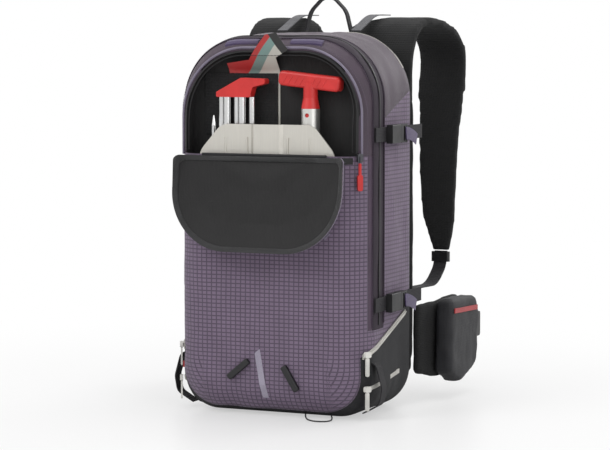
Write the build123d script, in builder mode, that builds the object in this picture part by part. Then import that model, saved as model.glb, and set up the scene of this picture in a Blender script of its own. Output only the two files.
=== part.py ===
"""Ski touring backpack with its tool pocket open, as separate sewn panels, harness, buckles and tools.

Millimetres, +Z up. The tool pocket faces -Y and the harness +Y, and the origin is the centre of the flat base.
"""

import os
from math import atan2, cos, degrees, radians, sin, sqrt

from build123d import *

os.makedirs("parts", exist_ok=True)

# Bag form: an arch in front view, with its front and back edges rolled over.
bag_width = 290.0
bag_depth = 200.0
bag_height = 536.0
top_lean = 9.0  # the top's front edge is lower than its back edge
top_corner = bag_width * 9 / 29
base_corner = bag_width * 52 / 290
front_roll_depth = bag_depth * 0.275
front_roll_side = bag_width * 5 / 29
front_roll_top, front_roll_base = bag_height * 112 / 536, 45.0
back_roll_depth = bag_depth * 0.15
back_roll_side, back_roll_top, back_roll_base = 12.0, 14.0, 12.0
wall = 2.5  # padded fabric
seat = 0.3  # gap between a sewn-on trim and the fabric under it
play = 0.4  # gap between pieces that move past each other
front_y = -bag_depth / 2
back_y = bag_depth / 2
half_width = bag_width / 2

# Seams, in side view.
band_front = front_y + 44
band_back = band_front + 38
band_foot = 124.0
band_edging = 10.0
back_seam = back_y - 16
base_front = front_y + 22
base_front_height, base_back_height = 88.0, 150.0

# Tool pocket.
pocket_top = bag_height - 25
hem_height = pocket_top - 145
pocket_half = half_width - 12
pocket_corner = (pocket_top - hem_height) * 90 / 145
pocket_floor = 125.0
pocket_back = front_y + 46
liner_wall = 1.5
upper_seam_front = hem_height + 49
upper_seam_back = upper_seam_front + 39
piping_width, piping_rise = 4.5, 2.6

# Flap: the arch above the hem, folded down on its hem.
flap_inset_side, flap_inset_top = 5.0, 10.0
flap_cloth, flap_lining_cloth = 1.4, 1.0
flap_edge = 7.0
flap_hinge_y = front_y - 4
flap_fold = 176.0

# Tools.
blade_half = pocket_half - 29
blade_low = pocket_floor + 13
blade_top = hem_height + 42
blade_sheet = 2.0
blade_y = front_y + 10
shaft_x, shaft_y = 57.0, blade_y + 18.2
shaft_radius, shaft_wall = 13.0, 1.5
shaft_low = pocket_floor + 25
grip_height = pocket_top - 43
grip_radius, grip_half, grip_tilt = 10.3, 46.0, 6.0
grip_setback = 2.0  # the bar sits behind the tube's axis
collar_low = grip_height - 38
tube_radius, tube_pitch, tube_count = 5.0, 11.6, 5
probe_x, probe_y = -57.0, blade_y + 18
probe_low, probe_top = pocket_floor + 23, pocket_top - 66

# Webbing and buckles.
webbing = 20.0
webbing_thick = 1.6
strap_heights = (hem_height + 28, base_back_height + 8)
buckle_length, buckle_width, buckle_thick = 34.0, 26.0, 9.0
buckle_wall = 1.8

# Shoulder straps.
pad_thick = 12.0
pad_end_height = 208.0

# Hip belt.
belt_low, belt_high = 30.0, 146.0
belt_thick = 12.0
pouch_deep = 26.0
pouch_low, pouch_high = 20.0, 148.0


# Shared forms.


def growth(angle, depth, roll, shift):
    """How far a section's edge moves out as the form grows by 1, where the section itself moves by shift."""
    if angle == 0:
        return 0.0
    along, out = cos(radians(angle)) / depth, sin(radians(angle)) / roll
    size = sqrt(along**2 + out**2)
    return (1 - shift * along / size) / (out / size)


def bag_section(angle, facing, grow):
    """The bag's section where its rolled edge, towards -Y or +Y, has turned by an angle."""
    if facing < 0:
        depth, rolls = front_roll_depth, (front_roll_side, front_roll_top, front_roll_base)
    else:
        depth, rolls = back_roll_depth, (back_roll_side, back_roll_top, back_roll_base)
    turned = radians(angle)
    along, out = cos(turned) / depth, sin(turned) / rolls[0]
    shift = along / sqrt(along**2 + out**2)
    y = facing * (bag_depth / 2 - depth * (1 - cos(turned)) + grow * shift)
    side, top, base = [
        roll * (1 - sin(turned)) - grow * growth(angle, depth, roll, shift) for roll in rolls
    ]
    high = bag_height - top - top_lean * (back_y - y) / bag_depth
    half = half_width - side
    spread = grow * growth(angle, depth, rolls[0], shift)
    with BuildSketch(Plane.XZ.offset(-y)) as section:
        with BuildLine():
            FilletPolyline(
                (-half, base),
                (half, base),
                (half, high),
                (-half, high),
                radius=[base_corner + spread, base_corner + spread, top_corner + spread, top_corner + spread],
                close=True,
            )
        make_face()
    return section.sketch


def bag_form(grow=0.0):
    """The bag's outer form, grown by a distance all round, with its base cut flat."""
    sections = [bag_section(angle, -1, grow) for angle in (0, 25, 50, 70, 90)]
    sections += [bag_section(angle, 1, grow) for angle in (90, 40, 0)]
    with BuildPart() as form:
        loft(sections, ruled=True)
        split(bisect_by=Plane.XY.offset(-grow), keep=Keep.TOP)
    return form.part


def skin(inner, outer):
    """A layer of the bag's form between two distances from its surface."""
    with BuildPart() as layer:
        add(bag_form(outer))
        add(bag_form(inner), mode=Mode.SUBTRACT)
    return layer.part


def side_view(*points, inner=-400.0, outer=400.0):
    """A prism along X whose outline is drawn in side view as (y, z) points."""
    with BuildPart() as prism:
        with BuildSketch(Plane.YZ.offset(inner)):
            with BuildLine():
                Polyline(*points, close=True)
            make_face()
        extrude(amount=outer - inner)
    return prism.part


def arch_prism(grow, low, y_front=-200.0, y_back=0.0, grow_top=None):
    """A prism along Y with the tool pocket's arched outline, grown by a distance, or by another at its top."""
    half, high = pocket_half + grow, pocket_top + (grow if grow_top is None else grow_top)
    corner = pocket_corner + grow
    with BuildPart() as prism:
        with BuildSketch(Plane.XZ.offset(-y_back)):
            with BuildLine():
                FilletPolyline(
                    (-half, low), (half, low), (half, high), (-half, high), radius=[8, 8, corner, corner], close=True
                )
            make_face()
        extrude(amount=y_back - y_front)
    return prism.part


def finish(builder, label):
    builder.part.label = label
    export_step(builder.part, f"parts/{label}.step")


# Outer panels, all cut from one layer along the same seams.

outer_layer = skin(-wall, 0)
base_slope = (base_back_height - base_front_height) / (back_seam - base_front)


def base_seam(y):
    return base_front_height + base_slope * (y - base_front)


edging_front = band_front - band_edging
seam_high = bag_height + 50
seam_low = -50.0
seam_front = front_y - 50

with BuildPart() as front_panel:
    add(outer_layer)
    add(
        side_view(
            (seam_front, seam_low),
            (base_front, seam_low),
            (base_front, base_seam(base_front)),
            (band_front, base_seam(band_front)),
            (band_front, band_foot),
            (edging_front, band_foot),
            (edging_front, hem_height),
            (seam_front, hem_height),
        ),
        mode=Mode.INTERSECT,
    )
finish(front_panel, "front_panel")

with BuildPart() as side_panels:
    add(outer_layer)
    add(
        side_view(
            (band_front, base_seam(band_front)),
            (back_seam, base_seam(back_seam)),
            (back_seam, upper_seam_back),
            (band_back, upper_seam_front),
            (band_back, band_foot),
            (band_front, band_foot),
        ),
        mode=Mode.INTERSECT,
    )
finish(side_panels, "side_panels")

with BuildPart() as zip_band:
    add(outer_layer)
    add(
        side_view(
            (band_front, band_foot), (band_back, band_foot), (band_back, seam_high), (band_front, seam_high)
        ),
        mode=Mode.INTERSECT,
    )
finish(zip_band, "zip_band")

with BuildPart() as upper_panel:
    add(outer_layer)
    add(
        side_view(
            (edging_front, band_foot),
            (band_front, band_foot),
            (band_front, seam_high),
            (seam_front, seam_high),
            (seam_front, hem_height),
            (edging_front, hem_height),
        )
        + side_view(
            (band_back, upper_seam_front), (back_seam, upper_seam_back), (back_seam, seam_high), (band_back, seam_high)
        ),
        mode=Mode.INTERSECT,
    )
    add(arch_prism(0, hem_height - 20), mode=Mode.SUBTRACT)
finish(upper_panel, "upper_panel")

with BuildPart() as base_panel:
    add(outer_layer)
    add(
        side_view(
            (base_front, seam_low),
            (back_seam, seam_low),
            (back_seam, base_seam(back_seam)),
            (base_front, base_seam(base_front)),
        ),
        mode=Mode.INTERSECT,
    )
finish(base_panel, "base_panel")

with BuildPart() as back_panel:
    add(outer_layer)
    add(
        side_view((back_seam, seam_low), (back_y + 50, seam_low), (back_y + 50, seam_high), (back_seam, seam_high)),
        mode=Mode.INTERSECT,
    )
finish(back_panel, "back_panel")


# Tool pocket: its lining, rim, document pocket and sleeve.

liner_gap = 0.5
back_face = pocket_back - liner_wall  # the lining's back, on the inside of the pocket

with BuildPart() as pocket_liner:
    add(arch_prism(-liner_gap, pocket_floor, y_back=pocket_back))
    add(
        arch_prism(-liner_gap - liner_wall, pocket_floor + liner_wall, y_back=back_face),
        mode=Mode.SUBTRACT,
    )
    add(bag_form(-wall - seat), mode=Mode.INTERSECT)
finish(pocket_liner, "pocket_liner")

with BuildPart() as pocket_piping:
    add(skin(seat, seat + piping_rise))
    add(arch_prism(liner_gap + piping_width, hem_height - 2), mode=Mode.INTERSECT)
    add(arch_prism(liner_gap, hem_height - 30), mode=Mode.SUBTRACT)
finish(pocket_piping, "pocket_piping")

zip_tape_width = 3.0
with BuildPart() as pocket_zip:
    add(skin(-2.2, -0.6))
    add(arch_prism(-liner_gap, hem_height + 2), mode=Mode.INTERSECT)
    add(arch_prism(-liner_gap - zip_tape_width, hem_height - 30), mode=Mode.SUBTRACT)
finish(pocket_zip, "pocket_zip")

hem_width = 9.0
with BuildPart() as pocket_hem:
    add(skin(seat, 1.5))
    with BuildSketch(Plane.XZ.offset(-front_y - 50)):
        with Locations((0, hem_height - 2 - hem_width / 2)):
            Rectangle(2 * pocket_half - 12, hem_width)
    extrude(amount=150, both=True, mode=Mode.INTERSECT)
    add(side_view((-300, 0), (-60, 0), (-60, 500), (-300, 500)), mode=Mode.INTERSECT)
finish(pocket_hem, "pocket_hem")

mesh_hem = pocket_top - 33
mesh_foot = mesh_hem - 86
mesh_left, mesh_right = 21 - pocket_half, 1.0
paper = 0.5
leaf_y = back_face - 0.3 - paper / 2
mesh_y = leaf_y - paper / 2 - 0.4
with BuildPart() as document_pocket:
    with BuildSketch(Plane.XZ.offset(-mesh_y)):
        with Locations(((mesh_left + mesh_right) / 2, (mesh_hem + mesh_foot) / 2)):
            Rectangle(mesh_right - mesh_left, mesh_hem - mesh_foot)
    extrude(amount=0.8)
    add(arch_prism(-liner_gap - liner_wall - 1, mesh_foot - 20), mode=Mode.INTERSECT)
finish(document_pocket, "document_pocket")

sleeve_y, sleeve_top = blade_y + 4.4, hem_height - 36
sleeve_half = pocket_half - 18
sleeve_foot = pocket_floor + liner_wall + seat
with BuildPart() as tool_sleeve:
    with BuildSketch(Plane.XZ.offset(-sleeve_y)):
        with Locations((0, (sleeve_foot + sleeve_top) / 2)):
            RectangleRounded(2 * sleeve_half, sleeve_top - sleeve_foot, 10)
    extrude(amount=0.8)
finish(tool_sleeve, "tool_sleeve")

# Leaflet: bent forward out of its pocket, over the rim.
leaf_left, leaf_right = -74.0, 4.0
with BuildPart() as leaflet:
    with BuildSketch(Plane.YZ.offset(-100)):
        with BuildLine() as bend:
            FilletPolyline(
                (leaf_y, mesh_foot + 4),
                (leaf_y, mesh_hem + 3),
                (front_y + 25.5, pocket_top - 7.5),
                (front_y + 19.5, pocket_top + 4),
                (front_y + 16, pocket_top + 25),
                radius=[12, 10, 25],
            )
        trace(bend.line, line_width=paper)
    extrude(amount=200)
    with BuildSketch(Plane.XZ.offset(150)):
        with BuildLine():
            Polyline(
                (leaf_left, mesh_foot),
                (leaf_right, mesh_foot),
                (leaf_right, pocket_top - 11),
                (leaf_right + 22, pocket_top),
                (leaf_right + 6, pocket_top + 24),
                (leaf_right - 11, pocket_top + 21),
                (leaf_right - 42, pocket_top - 14),
                (leaf_left, pocket_top - 19),
                close=True,
            )
        make_face()
    extrude(amount=-150, mode=Mode.INTERSECT)
finish(leaflet, "leaflet")


# Flap, modelled shut in the pocket's mouth and then folded down on its hem.

hinge = Axis((0, flap_hinge_y, hem_height), (1, 0, 0))


def flap_prism(inset=0.0):
    """The flap's outline as a prism, inset all round by a distance."""
    return arch_prism(
        -flap_inset_side - inset, hem_height + 2 + inset, grow_top=-flap_inset_top - inset, y_back=-40.0
    )


def flap_layer(inner, outer):
    """A layer of the flap, folded down."""
    with BuildPart() as layer:
        add(skin(inner, outer))
        add(flap_prism(), mode=Mode.INTERSECT)
    return layer.part.rotate(hinge, flap_fold)


def flap_rim(inner, outer, first, last):
    """A band along the flap's edge, between two distances in from it, folded down."""
    with BuildPart() as rim:
        add(skin(inner, outer))
        add(flap_prism(first), mode=Mode.INTERSECT)
        add(flap_prism(last), mode=Mode.SUBTRACT)
    return rim.part.rotate(hinge, flap_fold)


lining_outer = -flap_cloth - 0.1
lining_inner = lining_outer - flap_lining_cloth
with BuildPart() as flap_shell:
    add(flap_layer(-flap_cloth, 0))
finish(flap_shell, "flap_shell")

with BuildPart() as flap_lining:
    add(flap_layer(lining_inner, lining_outer))
finish(flap_lining, "flap_lining")

with BuildPart() as flap_binding:
    add(flap_rim(lining_inner - 0.9, lining_inner - 0.1, 0, flap_edge))
finish(flap_binding, "flap_binding")

with BuildPart() as flap_piping:
    add(flap_rim(0.1, 1.5, 0, 3.5))
finish(flap_piping, "flap_piping")


# Tools in the pocket: shovel blade, its shaft and grip, and a folded probe.

channel_half, channel_rise = 19.0, 4.5
blade_edge_rise = 3.5
with BuildPart() as shovel_blade:
    with BuildSketch(Plane.XY.offset(blade_low - 5)):
        with BuildLine() as curve:
            FilletPolyline(
                (-blade_half, blade_y - blade_edge_rise),
                (-blade_half / 2, blade_y),
                (-channel_half - 5, blade_y),
                (-channel_half, blade_y - channel_rise),
                (channel_half, blade_y - channel_rise),
                (channel_half + 5, blade_y),
                (blade_half / 2, blade_y),
                (blade_half, blade_y - blade_edge_rise),
                radius=[80, 3, 3, 3, 3, 80],
            )
        trace(curve.line, line_width=blade_sheet)
    extrude(amount=blade_top - blade_low + 10)
    with BuildSketch(Plane.XZ.offset(50)):
        with BuildLine():
            FilletPolyline(
                (-blade_half + 8, blade_low),
                (blade_half - 8, blade_low),
                (blade_half, blade_top - 40),
                (blade_half - 34, blade_top),
                (-blade_half + 34, blade_top),
                (-blade_half, blade_top - 40),
                radius=[28, 28, 30, 22, 22, 30],
                close=True,
            )
        make_face()
    extrude(amount=100, mode=Mode.INTERSECT)
finish(shovel_blade, "shovel_blade")

cap_thick = 3.0
button_drop, button_radius = 9.0, 3.0
with BuildPart() as shovel_shaft:
    with BuildSketch(Plane.XY.offset(shaft_low)):
        with Locations((shaft_x, shaft_y)):
            Circle(shaft_radius)
    extrude(amount=collar_low - shaft_low)
    with BuildSketch(Plane.XY.offset(shaft_low + cap_thick)):
        with Locations((shaft_x, shaft_y)):
            Circle(shaft_radius - shaft_wall)
    extrude(amount=collar_low - shaft_low, mode=Mode.SUBTRACT)
    with BuildSketch(Plane.XZ.offset(-shaft_y)):
        with Locations((shaft_x, collar_low - button_drop)):
            Circle(button_radius)
    extrude(amount=2 * shaft_radius, mode=Mode.SUBTRACT)
finish(shovel_shaft, "shovel_shaft")

# The grip's collar meets the tube's end, and its plug goes down inside.
plug_long = 22.0
neck_radius = shaft_radius - 3
with BuildPart() as shovel_grip:
    bar = Plane.XZ.offset(-shaft_y - grip_radius - grip_setback)
    with BuildSketch(bar):
        with Locations(Location((shaft_x, grip_height), -grip_tilt)):
            RectangleRounded(2 * grip_half, 2 * grip_radius, grip_radius * 0.6)
    extrude(amount=2 * grip_radius)
    fillet(shovel_grip.faces().filter_by(Axis.Y).edges(), radius=grip_radius * 0.4)
    with BuildSketch(Plane.XY.offset(collar_low + 0.1)):
        with Locations((shaft_x, shaft_y)):
            Circle(shaft_radius)
    with BuildSketch(Plane.XY.offset(collar_low + 15)):
        with Locations((shaft_x, shaft_y)):
            Circle(neck_radius)
    with BuildSketch(Plane.XY.offset(grip_height - 2)):
        with Locations((shaft_x, shaft_y)):
            Circle(neck_radius)
    loft(ruled=True)
    with BuildSketch(Plane.XY.offset(collar_low - plug_long)):
        with Locations((shaft_x, shaft_y)):
            Circle(shaft_radius - shaft_wall - 0.2)
    extrude(amount=plug_long + 2)
finish(shovel_grip, "shovel_grip")

tube_stagger = 4.0
tube_places = [
    (probe_x + (n - (tube_count - 1) / 2) * tube_pitch, probe_y + tube_stagger * (-1) ** n) for n in range(tube_count)
]
tip_radius, tip_point, tip_top = 3.5, 14.0, probe_top - 26
tip_x = probe_x - (tube_count / 2) * tube_pitch - tip_radius - 2
with BuildPart() as probe_tubes:
    with BuildSketch(Plane.XY.offset(probe_low)):
        with Locations(*tube_places):
            Circle(tube_radius)
    extrude(amount=probe_top - probe_low)
    with BuildSketch(Plane.XY.offset(probe_low)):
        with Locations((tip_x, probe_y)):
            Circle(tip_radius)
    extrude(amount=tip_top - probe_low - tip_point)
    with BuildSketch(Plane.XY.offset(tip_top - tip_point)):
        with Locations((tip_x, probe_y)):
            Circle(tip_radius)
    with BuildSketch(Plane.XY.offset(tip_top)):
        with Locations((tip_x, probe_y)):
            Circle(1)
    loft()
finish(probe_tubes, "probe_tubes")

probe_grip_high = probe_top + 27
with BuildPart() as probe_grip:
    with BuildSketch(Plane.XZ.offset(-probe_y - tube_stagger - tube_radius)):
        with BuildLine():
            FilletPolyline(
                (probe_x - 28, probe_top),
                (probe_x + 24, probe_top),
                (probe_x + 28, probe_top + 14),
                (probe_x + 47, probe_top + 19),
                (probe_x + 47, probe_grip_high - 1),
                (probe_x + 10, probe_grip_high),
                (probe_x - 28, probe_top + 7),
                radius=[2, 2, 3, 3, 3, 5, 2],
                close=True,
            )
        make_face()
    extrude(amount=2 * (tube_stagger + tube_radius) - 3)
finish(probe_grip, "probe_grip")

# Zips and trims on the panels.

trim = skin(seat, 2.0)
thin_trim = skin(seat, 1.3)
zip_width = 7.0


def seam_strip(start, end, width, inner):
    """A strip in side view along a line between two (y, z) points."""
    rise = width / 2
    return side_view(
        (start[0], start[1] - rise), (end[0], end[1] - rise), (end[0], end[1] + rise), (start[0], start[1] + rise),
        inner=inner,
    )


side_zip_start = (base_front + 3, base_seam(base_front) + 1)
side_zip_end = (back_seam - 22, base_seam(back_seam - 22) - 4)
base_zip_start, base_zip_end = (base_front + 8, 43.0), (back_y - 62, 56.0)
with BuildPart() as side_zips:
    add(trim)
    add(
        seam_strip(side_zip_start, side_zip_end, zip_width, 100)
        + seam_strip(base_zip_start, base_zip_end, zip_width - 1, 100),
        mode=Mode.INTERSECT,
    )
    mirror(about=Plane.YZ)
finish(side_zips, "side_zips")

back_zip_y = back_seam - 5
with BuildPart() as back_zip:
    add(trim)
    add(
        side_view(
            (back_zip_y - 4, pocket_top - 26),
            (back_zip_y + 4, pocket_top - 26),
            (back_zip_y + 4, seam_high),
            (back_zip_y - 4, seam_high),
            inner=30,
        ),
        mode=Mode.INTERSECT,
    )
finish(back_zip, "back_zip")

tape_y, tape_half = front_y + 37, 4.0
tape_low = pocket_top - 21
with BuildPart() as top_tapes:
    add(trim)
    add(
        side_view(
            (tape_y - tape_half, tape_low), (tape_y + tape_half, tape_low),
            (tape_y + tape_half, seam_high), (tape_y - tape_half, seam_high),
            inner=24, outer=72,
        )
        + side_view(
            (tape_y - tape_half, tape_low), (tape_y + tape_half, tape_low),
            (tape_y + tape_half, seam_high), (tape_y - tape_half, seam_high),
            inner=-76, outer=-26,
        ),
        mode=Mode.INTERSECT,
    )
finish(top_tapes, "top_tapes")

strip_low, strip_high = 27.0, 97.0
with BuildPart() as reflective_strip:
    add(thin_trim)
    with BuildSketch(Plane.XZ.offset(50)):
        with BuildLine():
            Polyline((-16.5, strip_high), (-7.5, strip_high), (4.5, strip_low), (-4.5, strip_low), close=True)
        make_face()
    extrude(amount=100, mode=Mode.INTERSECT)
finish(reflective_strip, "reflective_strip")

toggle_long, toggle_wide, toggle_thick = 40.0, 9.0, 6.0
toggle_spots = ((-39.0, 66.0, 40.0), (40.0, 57.0, -58.0))
with BuildPart() as axe_toggles:
    with BuildSketch(Plane.XZ.offset(-front_y + 1)):
        for x, z, lean in toggle_spots:
            with Locations(Location((x, z), lean)):
                RectangleRounded(toggle_long, toggle_wide, 3)
    extrude(amount=toggle_thick)
    fillet(axe_toggles.faces().sort_by(Axis.Y)[:2].edges(), radius=1.5)
finish(axe_toggles, "axe_toggles")

with BuildPart() as red_tag:
    with BuildSketch(Plane.XZ.offset(62)):
        with Locations((-half_width + 6, 62)):
            Rectangle(14, 9)
    extrude(amount=1.2)
    add(bag_form(seat), mode=Mode.SUBTRACT)
finish(red_tag, "red_tag")

# Ski loops: webbing that bows out from each side near the base.
loop_y, loop_low, loop_high, loop_bow = front_y + 48, 10.0, 78.0, 15.0
with BuildPart() as ski_loops:
    with BuildSketch(Plane.XZ.offset(-loop_y - 9)):
        with BuildLine() as bow:
            FilletPolyline(
                (half_width - 10, loop_high + 5),
                (half_width + 6, loop_high - 2),
                (half_width + loop_bow, loop_low + 34),
                (half_width + loop_bow - 4, loop_low + 12),
                (half_width - 14, loop_low - 2),
                radius=[12, 20, 12],
            )
        trace(bow.line, line_width=1.6)
    extrude(amount=18)
    add(bag_form(2.0 + seat), mode=Mode.SUBTRACT)
    mirror(about=Plane.YZ)
finish(ski_loops, "ski_loops")


# Compression straps: front webbing, socket, clip and rear webbing, two a side.

strap_gap = 1.2
strap_inner = half_width + strap_gap
socket_front = band_back + 2
socket_back = socket_front + buckle_length
clip_length = 22.0
clip_back = socket_back + clip_length
webbing_front = band_front + 2
webbing_end = back_y + 22
buckle_inner = strap_inner + webbing_thick + play


def strap_prism(y_start, y_end, height, width, inner, thick):
    """A box along a side of the bag, centred at a height."""
    with BuildPart() as box:
        with BuildSketch(Plane.YZ.offset(inner)):
            with Locations(((y_start + y_end) / 2, height)):
                Rectangle(y_end - y_start, width)
        extrude(amount=thick)
    return box.part


with BuildPart() as compression_webbing:
    for height in strap_heights:
        add(strap_prism(webbing_front, socket_front + 12, height, webbing, strap_inner, webbing_thick))
        add(strap_prism(socket_back + 1, webbing_end, height, webbing, strap_inner, webbing_thick))
        add(strap_prism(webbing_front, webbing_front + 6, height, webbing, half_width + seat, strap_gap - seat))
        add(strap_prism(back_seam - 6, back_seam + 2, height, webbing, half_width - 1.5, strap_gap + 1.5))
    mirror(about=Plane.YZ)
    add(bag_form(seat), mode=Mode.SUBTRACT)
finish(compression_webbing, "compression_webbing")

with BuildPart() as buckle_sockets:
    for height in strap_heights:
        add(strap_prism(socket_front, socket_back, height, buckle_width, buckle_inner, buckle_thick))
        add(
            strap_prism(
                socket_front + 12, socket_back + 1, height, buckle_width - 2 * buckle_wall,
                buckle_inner + buckle_wall, buckle_thick - 2 * buckle_wall,
            ),
            mode=Mode.SUBTRACT,
        )
        add(
            strap_prism(socket_front + 15, socket_back - 7, height, buckle_width + 2, buckle_inner + 3, 3),
            mode=Mode.SUBTRACT,
        )
    fillet(buckle_sockets.edges().filter_by(Axis.Y).sort_by(Axis.X)[-4:], radius=1.5)
    mirror(about=Plane.YZ)
finish(buckle_sockets, "buckle_sockets")

prong_thick = buckle_thick - 2 * (buckle_wall + play)
for height, level in zip(strap_heights, ("upper", "lower")):
    for side, name in ((1, "right"), (-1, "left")):
        with BuildPart() as clip:
            add(strap_prism(socket_back + play, clip_back, height, buckle_width, buckle_inner, buckle_thick))
            for edge in (-1, 1):
                add(
                    strap_prism(
                        socket_back - 15, socket_back + 1, height + edge * (buckle_width / 2 - buckle_wall - play - 2),
                        4, buckle_inner + buckle_wall + play, prong_thick,
                    )
                )
            add(
                strap_prism(socket_back - 12, socket_back + 1, height, 5, buckle_inner + buckle_wall + play, prong_thick)
            )
            add(
                strap_prism(clip_back - 14, clip_back - 10, height, webbing + 1, buckle_inner - 1, buckle_thick + 2),
                mode=Mode.SUBTRACT,
            )
            add(
                strap_prism(clip_back - 7, clip_back - 3, height, webbing + 1, buckle_inner - 1, buckle_thick + 2),
                mode=Mode.SUBTRACT,
            )
            if side < 0:
                mirror(about=Plane.YZ, mode=Mode.REPLACE)
        finish(clip, f"clip_{level}_{name}")


# Zip sliders with their pulls.

roll_turn = 48.0  # how far round the front roll the tool pocket's slider sits
roll_radius_x, roll_radius_y = front_roll_side, front_roll_depth


def roll_plane(turn, height, lift):
    """A plane tangent to the right front roll, lifted off it: x across, y up, z outwards."""
    angle = radians(turn)
    spot = Vector(
        half_width - roll_radius_x * (1 - sin(angle)), front_y + roll_radius_y * (1 - cos(angle)), height
    )
    normal = Vector(sin(angle) / roll_radius_x, -cos(angle) / roll_radius_y, 0).normalized()
    across = Vector(0, 0, 1).cross(normal)
    return Plane(origin=spot + normal * lift, x_dir=across, z_dir=normal)


slider_wide, slider_tall, slider_thick = 8.0, 12.0, 4.5
slider_lift = seat + piping_rise + play
pull_gap = 1.2
pull_long, pull_wide, pull_thick = 38.0, 8.0, 3.0
slider_high = hem_height - 2
slider_plane = roll_plane(roll_turn, slider_high, slider_lift)
with BuildPart() as pocket_slider:
    with BuildSketch(slider_plane):
        RectangleRounded(slider_wide, slider_tall, 2.5)
    extrude(amount=slider_thick)
    with BuildSketch(slider_plane.offset(slider_thick)):
        with Locations((0, -2)):
            RectangleRounded(3, 9, 1.4)
    extrude(amount=1.6)
finish(pocket_slider, "pocket_slider")

with BuildPart() as pocket_pull:
    with BuildSketch(slider_plane.offset(1.0)):
        with Locations((0, -slider_tall / 2 - pull_gap - 9)):
            RectangleRounded(3.2, 18, 1.5)
        with Locations((0, -slider_tall / 2 - pull_gap - pull_long + 11)):
            RectangleRounded(pull_wide, 22, 3)
    extrude(amount=pull_thick)
finish(pocket_pull, "pocket_pull")
pull_pivot = slider_plane.offset(1.0 + pull_thick / 2).from_local_coords((0, -slider_tall / 2 - pull_gap - 1.5, 0))
print("pull pivot", pull_pivot, "axis", slider_plane.x_dir)

side_pull_long = 26.0
side_turn = 62.0
side_planes = [roll_plane(side_turn, height, 2.0 + play) for height in (side_zip_start[1] + 3, base_zip_start[1] + 1)]
with BuildPart() as side_sliders:
    for place in side_planes:
        with BuildSketch(place):
            RectangleRounded(11, slider_wide, 2.5)
        extrude(amount=slider_thick)
    mirror(about=Plane.YZ)
finish(side_sliders, "side_sliders")

with BuildPart() as side_pulls:
    for place in side_planes:
        with BuildSketch(place.offset(0.8)):
            with Locations((0, -slider_wide / 2 - play - side_pull_long / 2)):
                RectangleRounded(6, side_pull_long, 2.5)
        extrude(amount=2.4)
    mirror(about=Plane.YZ)
finish(side_pulls, "side_pulls")


# Harness: padding, frame, shoulder straps and their webbing.

pad_gap = 0.3
padding_depth = 12.0
padding_front = back_y + pad_gap
padding_back = padding_front + padding_depth
padding_half, padding_low, padding_high = half_width - 4, 34.0, bag_height - 24
spine_half, spine_low, spine_high = 17.0, 140.0, bag_height - 96
spine_deep = 5.0
with BuildPart() as back_padding:
    with BuildSketch(Plane.XZ.offset(-padding_front)):
        with BuildLine():
            FilletPolyline(
                (-padding_half, padding_low),
                (padding_half, padding_low),
                (padding_half, padding_high),
                (-padding_half, padding_high),
                radius=[40, 40, top_corner, top_corner],
                close=True,
            )
        make_face()
    extrude(amount=-padding_depth)
    with BuildSketch(Plane.XZ.offset(-padding_back + spine_deep)):
        with Locations((0, (spine_low + spine_high) / 2)):
            RectangleRounded(2 * spine_half, spine_high - spine_low, 16)
    extrude(amount=-padding_depth, mode=Mode.SUBTRACT)
    fillet(back_padding.faces().sort_by(Axis.Y)[-1].outer_wire().edges(), radius=6)
finish(back_padding, "back_padding")

sheet_y = back_y - wall - 3
frame_middle = bag_height / 2 - 3
with BuildPart() as frame_sheet:
    with BuildSketch(Plane.XZ.offset(-sheet_y)):
        with Locations((0, frame_middle)):
            RectangleRounded(2 * padding_half - 62, bag_height - 116, 50)
    extrude(amount=1.2)
finish(frame_sheet, "frame_sheet")

stay_x, stay_wide, stay_thick = 62.0, 14.0, 3.0
with BuildPart() as frame_stays:
    with BuildSketch(Plane.XZ.offset(-sheet_y + 1.2 + pad_gap)):
        for x in (-stay_x, stay_x):
            with Locations((x, frame_middle)):
                RectangleRounded(stay_wide, bag_height - 136, 5)
    extrude(amount=stay_thick)
finish(frame_stays, "frame_stays")


def soft_path(points):
    """A path of straight runs and arcs, each arc as large as its two runs allow."""
    vectors = [Vector(*point) for point in points]
    radii = []
    for before, corner, after in zip(vectors, vectors[1:], vectors[2:]):
        shorter = min((corner - before).length, (after - corner).length)
        turn = radians((corner - before).get_angle(after - corner))
        radii.append(0.45 * shorter / max(sin(turn / 2) / cos(turn / 2), 0.02))
    return radii


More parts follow.
